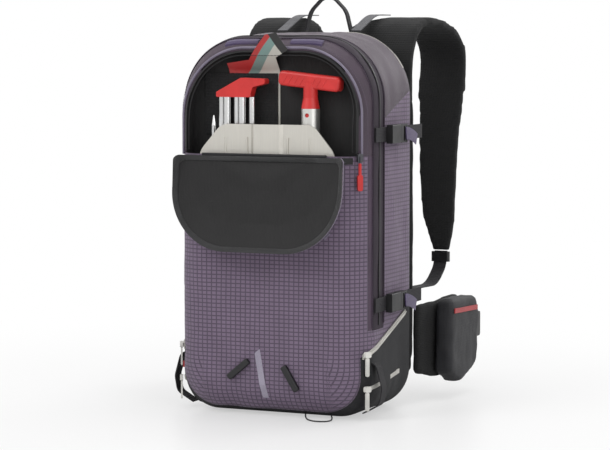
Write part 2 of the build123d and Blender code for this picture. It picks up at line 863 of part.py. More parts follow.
strap_root = padding_back + pad_gap + pad_thick / 2
strap_out = back_y + 168  # the pad's low end
strap_points = [
    (strap_root, bag_height - 104),
    (strap_root, bag_height - 42),
    (strap_root + 22, bag_height + 2),
    (strap_out - 86, bag_height + 17),
    (strap_out - 28, bag_height + 12),
    (strap_out + 20, bag_height - 7),
    (strap_out + 40, bag_height - 36),
    (strap_out + 31, bag_height - 88),
    (strap_out + 9, bag_height - 176),
    (strap_out, pad_end_height + 60),
    (strap_out, pad_end_height),
]
for side, name in ((1, "right"), (-1, "left")):
    with BuildPart() as strap:
        with BuildSketch(Plane.YZ):
            with BuildLine() as run:
                FilletPolyline(*strap_points, radius=soft_path(strap_points))
            trace(run.line, line_width=pad_thick)
        extrude(amount=side * 200)
        with BuildSketch(Plane.XY.offset(-10)):
            with BuildLine():
                FilletPolyline(
                    *[(side * x, y) for x, y in (
                        (26, back_y - 10), (26, back_y + 50), (62, back_y + 85), (76, strap_out + 32),
                        (76, strap_out + 72), (148, strap_out + 72), (148, strap_out + 32),
                        (136, back_y + 90), (132, back_y - 10),
                    )],
                    radius=[1, 20, 40, 60, 1, 1, 60, 60, 1],
                    close=True,
                )
            make_face()
        extrude(amount=700, mode=Mode.INTERSECT)
        with BuildSketch(Plane.XZ.offset(-360)):
            with BuildLine():
                FilletPolyline(
                    *[(side * x, z) for x, z in (
                        (20, bag_height + 84), (20, bag_height - 66), (78, bag_height - 96),
                        (86, bag_height - 196), (94, pad_end_height + 54), (110, pad_end_height + 6),
                        (113, pad_end_height - 18), (136, pad_end_height - 18), (138, pad_end_height + 6),
                        (146, pad_end_height + 54), (148, bag_height - 196), (150, bag_height + 84),
                    )],
                    radius=[1, 30, 30, 60, 40, 20, 1, 1, 20, 40, 60, 1],
                    close=True,
                )
            make_face()
        extrude(amount=300, mode=Mode.INTERSECT)
    finish(strap, f"shoulder_strap_{name}")

handle_x, handle_half, handle_wide, handle_top = 8.0, 37.0, 11.0, bag_height + 48
handle_foot = padding_high + pad_gap
handle_points = [(14, 0), (0, 18), (9, handle_top - handle_foot - 18), (27, handle_top - handle_foot)]
handle_left = [(handle_x - handle_half + x, handle_foot + z) for x, z in handle_points]
handle_right = [(handle_x + handle_half - x, handle_foot + z) for x, z in reversed(handle_points)]
with BuildPart() as grab_handle:
    with BuildSketch(Plane.XZ.offset(-padding_back + 0.5)):
        with BuildLine() as arch:
            FilletPolyline(*handle_left, *handle_right, radius=[12, 30, 12, 12, 30, 12])
        trace(arch.line, line_width=2.4)
    extrude(amount=handle_wide)
finish(grab_handle, "grab_handle")

lifter_x, lifter_half = 44.0, 7.5
lifter_points = [
    (back_y - 12, bag_height + 2),
    (back_y + 8, bag_height + 9),
    (back_y + 50, bag_height + 25),
    (back_y + 106, bag_height + 25),
]
with BuildPart() as load_lifters:
    with BuildSketch(Plane.YZ.offset(lifter_x + 14 - lifter_half)):
        with BuildLine() as run:
            FilletPolyline(*lifter_points, radius=soft_path(lifter_points))
        trace(run.line, line_width=1.4)
    extrude(amount=2 * lifter_half)
    mirror(about=Plane.YZ)
finish(load_lifters, "load_lifters")

web_x, web_end = 124.0, 162.0
web_points = [
    (strap_out, pad_end_height - 1),
    (strap_out - 6, web_end + 22),
    (strap_out - 42, web_end - 2),
    (strap_out - 108, web_end),
    (padding_back + 2, web_end + 2),
]
with BuildPart() as strap_webbing:
    with BuildSketch(Plane.YZ.offset(web_x - webbing / 2)):
        with BuildLine() as run:
            FilletPolyline(*web_points, radius=soft_path(web_points))
        trace(run.line, line_width=webbing_thick)
    extrude(amount=webbing)
    mirror(about=Plane.YZ)
finish(strap_webbing, "strap_webbing")

with BuildPart() as strap_adjusters:
    with BuildSketch(Plane.XY.offset(pad_end_height - 17)):
        with Locations((web_x, strap_out - 2)):
            RectangleRounded(28, 9, 3)
            Rectangle(webbing + 1, webbing_thick + 3, mode=Mode.SUBTRACT)
    extrude(amount=15)
    mirror(about=Plane.YZ)
finish(strap_adjusters, "strap_adjusters")


# Hip belt: a fixed lumbar belt, and a wing hinged at each end of it.

lumbar_front = padding_back + pad_gap
lumbar_half, lumbar_low, lumbar_high = half_width - 11, belt_low + 8, belt_high - 4
wing_root_x = half_width - 3
with BuildPart() as lumbar_belt:
    with BuildSketch(Plane.XZ.offset(-lumbar_front)):
        with Locations((0, (lumbar_low + lumbar_high) / 2)):
            RectangleRounded(2 * lumbar_half, lumbar_high - lumbar_low, 14)
    extrude(amount=-belt_thick)
    fillet(lumbar_belt.faces().sort_by(Axis.Y)[-1].edges(), radius=4)
finish(lumbar_belt, "lumbar_belt")

wing_root_y = lumbar_front + belt_thick / 2
wing_end = back_y + 184
wing_x = wing_root_x + 11
wing_points = [
    (wing_root_x, wing_root_y),
    (wing_x - 3, back_y + 60),
    (wing_x, back_y + 120),
    (wing_x - 1, wing_end),
]
pouch_front, pouch_back = back_y + 46, wing_end - 12
pouch_inner = wing_x + belt_thick / 2 + 0.6
tail_x, tail_long, tail_wide = wing_x - 2.5, 34.0, 30.0
buckle_high = (belt_low + belt_high) / 2 + 1
for side, name in ((1, "right"), (-1, "left")):
    with BuildPart() as wing:
        with BuildSketch(Plane.XY.offset(belt_low)):
            with BuildLine() as run:
                FilletPolyline(*[(side * x, y) for x, y in wing_points], radius=soft_path(wing_points))
            trace(run.line, line_width=belt_thick)
            with Locations((side * wing_root_x, wing_root_y)):
                Circle(belt_thick / 2)
        extrude(amount=belt_high - belt_low)
        with BuildSketch(Plane.YZ):
            with BuildLine():
                FilletPolyline(
                    (back_y, belt_low + 14), (back_y + 70, belt_low), (wing_end - 40, belt_low),
                    (wing_end + 2, belt_low + 36), (wing_end + 2, belt_high - 34), (wing_end - 30, belt_high),
                    (back_y, belt_high - 6),
                    radius=[10, 30, 20, 16, 12, 30, 10],
                    close=True,
                )
            make_face()
        extrude(amount=200, both=True, mode=Mode.INTERSECT)
    finish(wing, f"belt_wing_{name}")

    with BuildPart() as pouch:
        with BuildSketch(Plane.YZ.offset(side * pouch_inner)):
            with BuildLine():
                FilletPolyline(
                    (pouch_front, pouch_low + 22), (pouch_front + 46, pouch_low), (pouch_back - 10, pouch_low + 20),
                    (pouch_back, pouch_high - 34), (pouch_back - 14, pouch_high - 4), (pouch_front + 6, pouch_high),
                    radius=[12, 26, 20, 18, 10, 8],
                    close=True,
                )
            make_face()
        extrude(amount=side * pouch_deep)
        fillet(pouch.faces().sort_by(Axis.X, reverse=side > 0)[0].edges(), radius=7)
    finish(pouch, f"belt_pouch_{name}")

    with BuildPart() as belt_zip:
        with BuildSketch(Plane.YZ.offset(side * (pouch_inner + pouch_deep + seat))):
            with BuildLine() as run:
                Line((pouch_front + 12, pouch_high - 18), (pouch_back - 16, pouch_high - 22))
            trace(run.line, line_width=7)
        extrude(amount=side * 1.4)
    finish(belt_zip, f"belt_zip_{name}")

    with BuildPart() as belt_tail:
        with BuildSketch(Plane.YZ.offset(side * tail_x)):
            with Locations((wing_end + tail_long / 2 + 2.3, buckle_high)):
                Rectangle(tail_long, tail_wide)
        extrude(amount=side * webbing_thick)
    finish(belt_tail, f"belt_webbing_{name}")

    with BuildPart() as belt_buckle:
        with BuildSketch(Plane.YZ.offset(side * (tail_x + webbing_thick / 2) - 4.5)):
            with Locations((wing_end + 2.3 + tail_long + 18.5, buckle_high)):
                RectangleRounded(36, 38, 5)
                if side < 0:
                    with Locations((12, 0)):
                        Rectangle(22, 24, mode=Mode.SUBTRACT)
        extrude(amount=9)
    finish(belt_buckle, f"belt_buckle_{name}")


# Cord: a thin lash loop that lies out on the ground from the base seam.

cord_radius = 1.0
cord_points = [
    (50, front_y + 29, 6.6),
    (56, front_y + 10, 1.7),
    (75, front_y - 12, 1.3),
    (98, front_y - 8, 1.3),
    (99, front_y + 12, 1.7),
    (87, front_y + 29, 6.6),
]
with BuildPart() as axe_cord_loop:
    with BuildLine() as route:
        FilletPolyline(*cord_points, radius=soft_path(cord_points))
    with BuildSketch(Plane(origin=route.line @ 0, z_dir=route.line % 0)):
        Circle(cord_radius)
    sweep(path=route.line)
finish(axe_cord_loop, "axe_cord_loop")
cord_length = sum(edge.length for edge in route.line.edges())
print("cord", round(cord_length, 1), round(axe_cord_loop.part.volume / (3.1416 * cord_radius**2), 1))
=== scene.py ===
# A ski touring backpack with its tool pocket open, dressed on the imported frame.
import math

import bmesh
import bpy
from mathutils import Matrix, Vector, noise


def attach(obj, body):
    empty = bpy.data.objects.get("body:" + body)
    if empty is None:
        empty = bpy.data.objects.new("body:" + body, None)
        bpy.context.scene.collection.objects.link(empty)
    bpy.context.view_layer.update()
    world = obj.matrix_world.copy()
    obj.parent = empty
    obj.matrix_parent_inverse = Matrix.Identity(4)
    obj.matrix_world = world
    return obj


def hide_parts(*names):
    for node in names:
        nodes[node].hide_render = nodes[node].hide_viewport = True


print("loading the frame")
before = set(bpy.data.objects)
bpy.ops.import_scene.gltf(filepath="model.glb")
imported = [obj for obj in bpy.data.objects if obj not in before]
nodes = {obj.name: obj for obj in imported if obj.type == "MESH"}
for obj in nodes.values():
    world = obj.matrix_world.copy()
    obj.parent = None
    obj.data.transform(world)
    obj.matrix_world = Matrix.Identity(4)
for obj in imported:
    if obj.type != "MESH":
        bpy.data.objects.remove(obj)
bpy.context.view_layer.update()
milli = 0.001  # sizes below are in millimetres


# Shader maths: plain sums on values add Math nodes.
class Value:
    def __init__(self, graph, socket):
        self.graph = graph
        self.socket = socket

    def maths(self, operation, *others):
        values = {n: other for n, other in enumerate((self,) + others)}
        return self.graph.add("ShaderNodeMath", {"operation": operation}, values)

    def __add__(self, other):
        return self.maths("ADD", other)

    def __radd__(self, other):
        return self.maths("ADD", other)

    def __sub__(self, other):
        return self.maths("SUBTRACT", other)

    def __rsub__(self, other):
        return self.graph.add("ShaderNodeMath", {"operation": "SUBTRACT"}, {0: other, 1: self})

    def __mul__(self, other):
        return self.maths("MULTIPLY", other)

    def __rmul__(self, other):
        return self.maths("MULTIPLY", other)

    def __truediv__(self, other):
        return self.maths("DIVIDE", other)


class Graph:
    def __init__(self, name):
        self.material = bpy.data.materials.new(name)
        self.material.use_nodes = True
        self.tree = self.material.node_tree
        self.tree.nodes.clear()

    def feed(self, socket, value):
        if isinstance(value, Value):
            self.tree.links.new(value.socket, socket)
        elif socket.type == "RGBA" and len(value) == 3:
            socket.default_value = (*value, 1)
        else:
            socket.default_value = value

    def add(self, kind, settings=None, values=None, output=0):
        node = self.tree.nodes.new(kind)
        for key, setting in (settings or {}).items():
            if key == "stops":
                while len(node.color_ramp.elements) < len(setting):
                    node.color_ramp.elements.new(0.5)
                for stop, (place, colour) in zip(node.color_ramp.elements, setting):
                    stop.position = place
                    stop.color = (*colour, 1)
            else:
                setattr(node, key, setting)
        for key, value in (values or {}).items():
            self.feed(node.inputs[key], value)
        return Value(self, node.outputs[output]) if node.outputs else None

    def smooth(self, value, low, high, start=0.0, end=1.0):
        settings = {"interpolation_type": "SMOOTHSTEP"}
        return self.add("ShaderNodeMapRange", settings, {0: value, 1: low, 2: high, 3: start, 4: end})

    def tint(self, first, second, mask):
        return self.add("ShaderNodeMix", {"data_type": "RGBA"}, {0: mask, 6: first, 7: second}, 2)

    def cloudy(self, place, scale, detail=2.0, rough=0.5):
        values = {"Vector": place, "Scale": scale, "Detail": detail, "Roughness": rough}
        return self.add("ShaderNodeTexNoise", None, values)

    def raised(self, height):
        # a normal from a height in metres
        return self.add("ShaderNodeBump", None, {"Strength": 1.0, "Distance": 1.0, "Height": height})

    def finish(self, **values):
        names = {"colour": "Base Color", "roughness": "Roughness", "metallic": "Metallic", "normal": "Normal",
                 "sheen": "Sheen Weight", "sheenRoughness": "Sheen Roughness"}
        values = {names[key]: value for key, value in values.items()}
        shader = self.add("ShaderNodeBsdfPrincipled", None, values)
        self.add("ShaderNodeOutputMaterial", None, {"Surface": shader})
        return self.material


def darker(colour, factor):
    return tuple(part * factor for part in colour)


# Cloth: threads crossing at a fine pitch, with a grid of thicker threads where it is ripstop.
def clothMaterial(name, colour, pitch=0.9, relief=0.25, roughness=0.75, sheen=0.15, grid=None, mottle=0.12,
                  onUv=True):
    graph = Graph(name)
    place = graph.add("ShaderNodeTexCoord", None, None, "UV" if onUv else "Object")
    parts = [graph.add("ShaderNodeSeparateXYZ", None, {0: place}, n) for n in range(3)]
    across, along = (parts[0], parts[1]) if onUv else (parts[0] + parts[1], parts[2])
    threads = 1000 / pitch
    over = (across * (threads * math.pi)).maths("SINE").maths("ABSOLUTE")
    under = (along * (threads * math.pi)).maths("SINE").maths("ABSOLUTE")
    height = (over + under) * (0.35 * relief * milli)
    blotch = graph.cloudy(place, 28, 3)
    fine = graph.cloudy(place, 900, 2)
    shade = graph.smooth(blotch, 0.3, 0.7, 1 - mottle, 1 + mottle) * graph.smooth(fine, 0.2, 0.8, 0.86, 1.14)
    tone = graph.add("ShaderNodeVectorMath", {"operation": "SCALE"}, {0: colour, "Scale": shade})
    if grid:
        lines = None
        for part, step in ((across, grid["wide"]), (along, grid["high"])):
            reach = (part * (1000 / step)).maths("PINGPONG", 0.5) * step
            line = graph.smooth(reach, grid["thread"] * 0.35, grid["thread"] * 0.75, 1, 0)
            lines = line if lines is None else lines.maths("MAXIMUM", line)
        tone = graph.tint(tone, grid["colour"], lines * grid["strength"])
        height = height + lines * (grid["relief"] * milli)
    bump = graph.raised(height)
    return graph.finish(colour=tone, roughness=roughness, sheen=sheen, sheenRoughness=0.4, normal=bump)


# The bag's form: rounded outlines in front view whose size follows a roll at the front and back edges.
bag = {"wide": 290, "deep": 200, "high": 536, "lean": 9, "topCorner": 90, "baseCorner": 52,
       "frontRoll": (55, 50, 112, 45), "backRoll": (30, 12, 14, 12), "wall": 2.5}
seams = {"hem": 366, "bandFront": -56, "bandBack": -18, "bandFoot": 124, "edging": -66, "back": 84,
         "upperFront": 415, "upperBack": 454, "baseFront": -78, "baseLow": 88, "baseHigh": 150}
pocket = {"half": 133, "top": 511, "corner": 90, "floor": 125, "back": -55.5, "hem": 366}
halfWide, halfDeep = bag["wide"] / 2, bag["deep"] / 2


def sectionAt(turn, facing):
    depth, side, top, base = bag["frontRoll"] if facing < 0 else bag["backRoll"]
    swing = 1 - math.sin(turn)
    y = facing * (halfDeep - depth * (1 - math.cos(turn)))
    high = bag["high"] - top * swing - bag["lean"] * (halfDeep - y) / bag["deep"]
    return y, halfWide - side * swing, base * swing, high


def roundedOutline(half, low, high, baseCorner, topCorner, counts):
    corners = [(-half, low, baseCorner, 180), (half, low, baseCorner, 270), (half, high, topCorner, 0),
               (-half, high, topCorner, 90)]
    points = []
    for n, (x, z, radius, start) in enumerate(corners):
        middle = (x - math.copysign(radius, x), z + (radius if z == low else -radius))
        for step in range(counts[0] + 1):
            angle = math.radians(start + 90 * step / counts[0])
            points.append((middle[0] + radius * math.cos(angle), middle[1] + radius * math.sin(angle)))
        following = corners[(n + 1) % 4]
        reach = (following[0] - math.copysign(following[2], following[0]) if n in (0, 2) else following[0],
                 following[1] + (following[2] if n == 3 else -following[2]) if n in (1, 3) else z)
        count = counts[1] if n in (0, 2) else counts[2]
        last = points[-1]
        for step in range(1, count):
            part = step / count
            points.append((last[0] + (reach[0] - last[0]) * part, last[1] + (reach[1] - last[1]) * part))
    return points


def inOutline(x, z, turn):
    y, half, low, high = sectionAt(turn, -1)
    topCorner, baseCorner = bag["topCorner"], bag["baseCorner"]
    x = abs(x)
    if x > half or z < low or z > high:
        return False
    for corner, level in ((topCorner, high - topCorner), (baseCorner, low + baseCorner)):
        beyond = z > level if corner == topCorner else z < level
        if beyond and x > half - corner and math.hypot(x - half + corner, z - level) > corner:
            return False
    return True


def frontY(x, z):
    # depth of the front's surface at a place in front view
    low, high = 0.0, math.pi / 2
    if inOutline(x, z, 0):
        return sectionAt(0, -1)[0]
    for _ in range(18):
        middle = (low + high) / 2
        low, high = (low, middle) if inOutline(x, z, middle) else (middle, high)
    return sectionAt(high, -1)[0]


def turnAt(y):
    facing = -1 if y < 0 else 1
    depth = bag["frontRoll"][0] if facing < 0 else bag["backRoll"][0]
    cosine = 1 - (halfDeep - abs(y)) / depth
    return math.acos(max(0.0, min(1.0, cosine))), facing


def loopAt(y, grow=0.0, start=0.0, end=1.0, count=160):
    # the bag's outline in front view at a depth, from the right side's foot over the top to the left's
    turn, facing = turnAt(y)
    _, half, low, high = sectionAt(turn, facing)
    outline = roundedOutline(half + grow, low - grow, high + grow, bag["baseCorner"] + grow,
                             bag["topCorner"] + grow, (24, 40, 80))
    first = 25 + 39 + 25  # after the base's two corners and bottom edge
    path = [Vector((x, y, z)) for x, z in outline[first:] + outline[:1]]
    return cutPath(path, start, end, count)


def cutPath(path, start, end, count):
    lengths = [0.0]
    for a, b in zip(path, path[1:]):
        lengths.append(lengths[-1] + (b - a).length)
    points, n = [], 0
    for step in range(count):
        reach = lengths[-1] * (start + (end - start) * step / (count - 1))
        while n < len(path) - 2 and lengths[n + 1] < reach:
            n += 1
        part = (reach - lengths[n]) / max(lengths[n + 1] - lengths[n], 1e-9)
        points.append(path[n].lerp(path[n + 1], max(0.0, min(1.0, part))))
    return points


def sideX(y, z):
    turn, facing = turnAt(y)
    _, half, low, high = sectionAt(turn, facing)
    topCorner, baseCorner = bag["topCorner"], bag["baseCorner"]
    if z > high - topCorner:
        return half - topCorner + math.sqrt(max(0, topCorner ** 2 - (z - high + topCorner) ** 2))
    if z < low + baseCorner:
        return half - baseCorner + math.sqrt(max(0, baseCorner ** 2 - (low + baseCorner - z) ** 2))
    return half


def surfaceNormal(point):
    # outward direction of the bag's form near a point on it
    x, y, z = point
    turn, facing = turnAt(y)
    depth, side, top, base = bag["frontRoll"] if facing < 0 else bag["backRoll"]
    _, half, low, high = sectionAt(turn, facing)
    topCorner, baseCorner = bag["topCorner"], bag["baseCorner"]
    if turn < 0.02:
        return Vector((0, facing, 0))
    level, corner = (high - topCorner, topCorner) if z > 250 else (low + baseCorner, baseCorner)
    beyond = z > level if z > 250 else z < level
    if beyond and abs(x) > half - corner:
        outward = Vector((x - math.copysign(half - corner, x), 0, z - level)).normalized()
        roll = side * abs(outward.x) + (top if z > 250 else base) * abs(outward.z)
    elif beyond or abs(x) < half - 1.5:
        outward = Vector((0, 0, 1 if z > 250 else -1))
        roll = top if z > 250 else base
    else:
        outward = Vector((math.copysign(1, x), 0, 0))
        roll = side
    return (outward * (math.sin(turn) / roll) + Vector((0, facing * math.cos(turn) / depth, 0))).normalized()


def arcTable(facing, steps=60):
    depth, side, _, _ = bag["frontRoll"] if facing < 0 else bag["backRoll"]
    table, reach, last = [], 0.0, None
    for n in range(steps + 1):
        turn = math.pi / 2 * n / steps
        spot = Vector((side * math.sin(turn), depth * (1 - math.cos(turn))))
        reach += (spot - last).length if last else 0.0
        last = spot
        table.append((spot.y, reach))
    return table


frontArc = arcTable(-1)


def wrapOf(point):
    # distance round the bag from its front middle, so that a weave follows the rolled edge
    x, y, _ = point
    flat = halfWide - bag["frontRoll"][1]
    if abs(x) <= flat and y < 0:
        return x
    rolled = halfDeep + y
    reach = frontArc[-1][1] + rolled - frontArc[-1][0]
    for (y0, r0), (y1, r1) in zip(frontArc, frontArc[1:]):
        if y0 <= rolled < y1:
            reach = r0 + (r1 - r0) * (rolled - y0) / (y1 - y0)
    return math.copysign(flat + reach, x)


def baseSeam(y):
    part = (y - seams["baseFront"]) / (seams["back"] - seams["baseFront"])
    return seams["baseLow"] + (seams["baseHigh"] - seams["baseLow"]) * part


def archOutline(grow=0.0, low=None, count=120, lowGrow=0.0):
    # the tool pocket's arch in front view, from its left foot over the top to its right foot
    half, high, corner = pocket["half"] + grow, pocket["top"] + grow, pocket["corner"] + grow
    low = pocket["hem"] if low is None else low
    path = [Vector((-half, 0, low))]
    path += [Vector((-half, 0, high - corner - (high - corner - low) * (1 - n / 20))) for n in range(1, 21)]
    for n in range(1, 31):
        angle = math.radians(180 - 3 * n)
        turned = Vector((math.cos(angle), 0, math.sin(angle)))
        path.append(Vector((corner - half, 0, high - corner)) + turned * corner)
    path += [Vector((-point.x, 0, point.z)) for point in reversed(path)]
    return cutPath(path, 0, 1, count)


def onFront(path, lift=0.0):
    points = []
    for spot in path:
        point = Vector((spot.x, frontY(spot.x, spot.z), spot.z))
        points.append(point + surfaceNormal(point) * lift)
    return points


# Meshes: every piece ends as one object at the origin, in metres, on its body.
def makePiece(name, points, faces, material, body, stands=(), uv=None, crease=30):
    mesh = bpy.data.meshes.new(name)
    mesh.from_pydata([Vector(point) * milli for point in points], [], faces)
    if uv:
        layer = mesh.uv_layers.new(name="UVMap")
        for loop in mesh.loops:
            layer.data[loop.index].uv = [part * milli for part in uv[loop.vertex_index]]
    return dressMesh(name, mesh, material, body, stands, crease=crease)


def dressMesh(name, mesh, material, body, stands=(), smooth=True, crease=30):
    piece = bpy.data.objects.new(name, mesh)
    bpy.context.scene.collection.objects.link(piece)
    mesh.materials.append(material)
    if smooth:
        mesh.shade_smooth()
        mesh.set_sharp_from_angle(angle=math.radians(crease))
    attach(piece, body)
    if stands:
        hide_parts(*stands)
    return piece


def thicken(piece, thick):
    shell = piece.modifiers.new("thickness", "SOLIDIFY")
    shell.thickness = thick * milli
    shell.offset = -1.0
    shell.use_even_offset = False
    return settle(piece)


def settle(piece):
    # turns the piece with its modifiers into a plain mesh
    seen = piece.evaluated_get(bpy.context.evaluated_depsgraph_get())
    plain = bpy.data.meshes.new_from_object(seen)
    old = piece.data
    piece.modifiers.clear()
    piece.data = plain
    bpy.data.meshes.remove(old)
    plain.name = piece.name
    return piece


def grid(rows, closed=False):
    # faces of a grid of equal rows, with their points in one list
    wide = len(rows[0])
    points = [point for row in rows for point in row]
    faces = []
    for n in range(len(rows) - 1):
        for m in range(wide if closed else wide - 1):
            following = (m + 1) % wide
            faces.append((n * wide + m, n * wide + following, (n + 1) * wide + following, (n + 1) * wide + m))
    return points, faces


def frames(path, up):
    # each point of a path with its side and its upward direction
    result = []
    for n, point in enumerate(path):
        ahead = (path[min(n + 1, len(path) - 1)] - path[max(n - 1, 0)]).normalized()
        side = ahead.cross(up).normalized()
        result.append((point, side, side.cross(ahead).normalized()))
    return result


def ribbon(name, path, up, wide, thick, material, body):
    # a flat strap or tape along a path, on its upper side, with rounded edges
    half, reach = wide / 2, 0.0
    edge = min(0.35 * thick, half * 0.3)
    profile = [(-half, thick / 2), (-half + edge, thick), (-half / 2, thick), (0, thick), (half / 2, thick),
               (half - edge, thick), (half, thick / 2), (half - edge, 0), (0, 0), (-half + edge, 0)]
    rows, uv, last = [], [], None
    for point, side, over in frames(path, up):
        reach += (point - last).length if last else 0.0
        last = point
        rows.append([point + side * across + over * lift for across, lift in profile])
        uv += [(across, reach) for across, lift in profile]
    points, faces = grid(rows, closed=True)
    count = len(profile)
    faces.append(tuple(range(count)))
    faces.append(tuple(range(len(points) - 1, len(points) - 1 - count, -1)))
    piece = makePiece(name, points, faces, material, body, (), uv=uv, crease=50)
    return outward(piece)


def outward(piece):
    shape = bmesh.new()
    shape.from_mesh(piece.data)
    bmesh.ops.recalc_face_normals(shape, faces=shape.faces)
    shape.to_mesh(piece.data)
    shape.free()
    return piece


def tube(name, path, radius, material, body, stands=(), sides=10):
    # a round piece along an open path, closed at both ends
    rows, uv, reach, last, over = [], [], 0.0, None, None
    turns = [2 * math.pi * k / sides for k in range(sides)]
    ring = [(math.cos(turn), math.sin(turn)) for turn in turns]
    for n, point in enumerate(path):
        ahead = (path[min(n + 1, len(path) - 1)] - path[max(n - 1, 0)]).normalized()
        if over is None:
            over = Vector((0, 0, 1)) if abs(ahead.z) < 0.8 else Vector((0, -1, 0))
        side = ahead.cross(over).normalized()
        over = side.cross(ahead).normalized()
        reach += (point - last).length if last else 0.0
        last = point
        rows.append([point + side * (across * radius) + over * (lift * radius) for across, lift in ring])
        uv += [(turn * radius, reach) for turn in turns]
    points, faces = grid(rows, closed=True)
    faces.append(tuple(range(sides)))
    faces.append(tuple(range(len(points) - 1, len(points) - 1 - sides, -1)))
    piece = makePiece(name, points, faces, material, body, stands, uv=uv, crease=60)
    return outward(piece)


def blend(a, b, part):
    part = max(0.0, min(1.0, part))
    part = part * part * (3 - 2 * part)
    return a + (b - a) * part


def ripple(point, size, seed=0.0):
    return noise.noise(Vector(point) / size + Vector((seed, seed * 1.7, -seed)))


# Finishes.
print("mixing the finishes")
ripstopGrid = {"wide": 7.4, "high": 5.8, "thread": 1.6, "colour": (0.04, 0.028, 0.048), "strength": 0.7,
               "relief": 0.12}
pouchGrid = {"wide": 4.2, "high": 4.2, "thread": 0.9, "colour": (0.008, 0.008, 0.01), "strength": 0.6,
             "relief": 0.1}
liningGrid = {"wide": 5.2, "high": 60, "thread": 1.0, "colour": (0.012, 0.012, 0.012), "strength": 0.5,
              "relief": 0.1}
ripstop = clothMaterial("ripstop", (0.185, 0.137, 0.205), roughness=0.68, sheen=0.08, grid=ripstopGrid,
                        mottle=0.07)
plumCloth = clothMaterial("plumCloth", (0.05, 0.03, 0.05), pitch=0.8, roughness=0.5, sheen=0.12, mottle=0.1,
                          onUv=False)
darkPlum = clothMaterial("darkPlum", (0.016, 0.008, 0.018), roughness=0.75, sheen=0.0, onUv=False)
edgingCloth = clothMaterial("edgingCloth", (0.07, 0.045, 0.074), pitch=0.8, roughness=0.65, sheen=0.05,
                            onUv=False)
blackCloth = clothMaterial("blackCloth", (0.01, 0.01, 0.012), pitch=1.1, relief=0.35, sheen=0.0, onUv=False)
blackRipstop = clothMaterial("blackRipstop", (0.009, 0.009, 0.012), roughness=0.62, sheen=0.0, onUv=False,
                             grid=pouchGrid)
lining = clothMaterial("lining", (0.01, 0.0095, 0.01), roughness=0.8, sheen=0.0, onUv=False, relief=0.2,
                       grid=liningGrid)
meshCloth = clothMaterial("meshCloth", (0.012, 0.012, 0.013), pitch=2.2, relief=1.6, roughness=0.85, sheen=0.0,
                          onUv=False)
paddingCloth = clothMaterial("paddingCloth", (0.006, 0.006, 0.0065), pitch=2.6, relief=1.2, roughness=0.9,
                             sheen=0.0, onUv=False)
lilacCloth = clothMaterial("lilacCloth", (0.19, 0.165, 0.23), pitch=0.7, roughness=0.5, sheen=0.3)
reflective = clothMaterial("reflective", (0.33, 0.3, 0.38), pitch=0.5, relief=0.15, roughness=0.4, sheen=0.4)
purpleWeb = clothMaterial("purpleWeb", (0.075, 0.05, 0.13), pitch=2.0, relief=1.4, roughness=0.6, sheen=0.3)
blackWeb = clothMaterial("blackWeb", (0.009, 0.008, 0.011), pitch=2.0, relief=1.6, roughness=0.7, sheen=0.0)
greyWeb = clothMaterial("greyWeb", (0.09, 0.09, 0.1), pitch=2.0, relief=1.4, roughness=0.6)
whiteTape = clothMaterial("whiteTape", (0.62, 0.6, 0.56), pitch=0.8, relief=0.5, roughness=0.6)
redCloth = clothMaterial("redCloth", (0.42, 0.03, 0.035), pitch=0.9, relief=0.5, roughness=0.55)
blackTape = clothMaterial("blackTape", (0.014, 0.014, 0.015), pitch=0.8, relief=0.5, roughness=0.6)


def mouldedMaterial(name, colour, roughness=0.42, grain=0.05, wear=0.12):
    graph = Graph(name)
    place = graph.add("ShaderNodeTexCoord", None, None, "Object")
    fine = graph.cloudy(place, 1400, 2)
    broad = graph.cloudy(place, 45, 3)
    shade = graph.smooth(broad, 0.3, 0.7, 1 - wear, 1 + wear)
    tone = graph.add("ShaderNodeVectorMath", {"operation": "SCALE"}, {0: colour, "Scale": shade})
    rough = graph.smooth(broad, 0.25, 0.75, roughness - 0.06, roughness + 0.08)
    return graph.finish(colour=tone, roughness=rough, normal=graph.raised(fine * (grain * milli)))


def metalMaterial(name, colour, roughness=0.3, brush=0.02, metallic=1.0):
    graph = Graph(name)
    place = graph.add("ShaderNodeTexCoord", None, None, "Object")
    stretched = graph.add("ShaderNodeMapping", None, {"Vector": place, "Scale": (1.0, 1.0, 0.03)})
    streaks = graph.cloudy(stretched, 900, 3)
    broad = graph.cloudy(place, 30, 2)
    tone = graph.tint(colour, darker(colour, 0.94), graph.smooth(streaks * 0.6 + broad * 0.4, 0.35, 0.65))
    rough = graph.smooth(broad, 0.3, 0.7, roughness - 0.05, roughness + 0.08)
    bump = graph.raised(streaks * (brush * milli))
    return graph.finish(colour=tone, roughness=rough, metallic=metallic, normal=bump)


redPlastic = mouldedMaterial("redPlastic", (0.62, 0.028, 0.026), roughness=0.4, wear=0.08)
blackPlastic = mouldedMaterial("blackPlastic", (0.007, 0.007, 0.008), roughness=0.45)
whitePlastic = mouldedMaterial("whitePlastic", (0.7, 0.69, 0.65), roughness=0.4)
aluminium = metalMaterial("aluminium", (0.62, 0.6, 0.55), roughness=0.42, metallic=0.75)
shaftMetal = metalMaterial("shaftMetal", (0.72, 0.71, 0.68), roughness=0.3, metallic=0.9)
tubeMetal = metalMaterial("tubeMetal", (0.8, 0.8, 0.8), roughness=0.16)
sliderMetal = metalMaterial("sliderMetal", (0.1, 0.1, 0.11), roughness=0.35)
thread = mouldedMaterial("thread", (0.11, 0.08, 0.12), roughness=0.7)


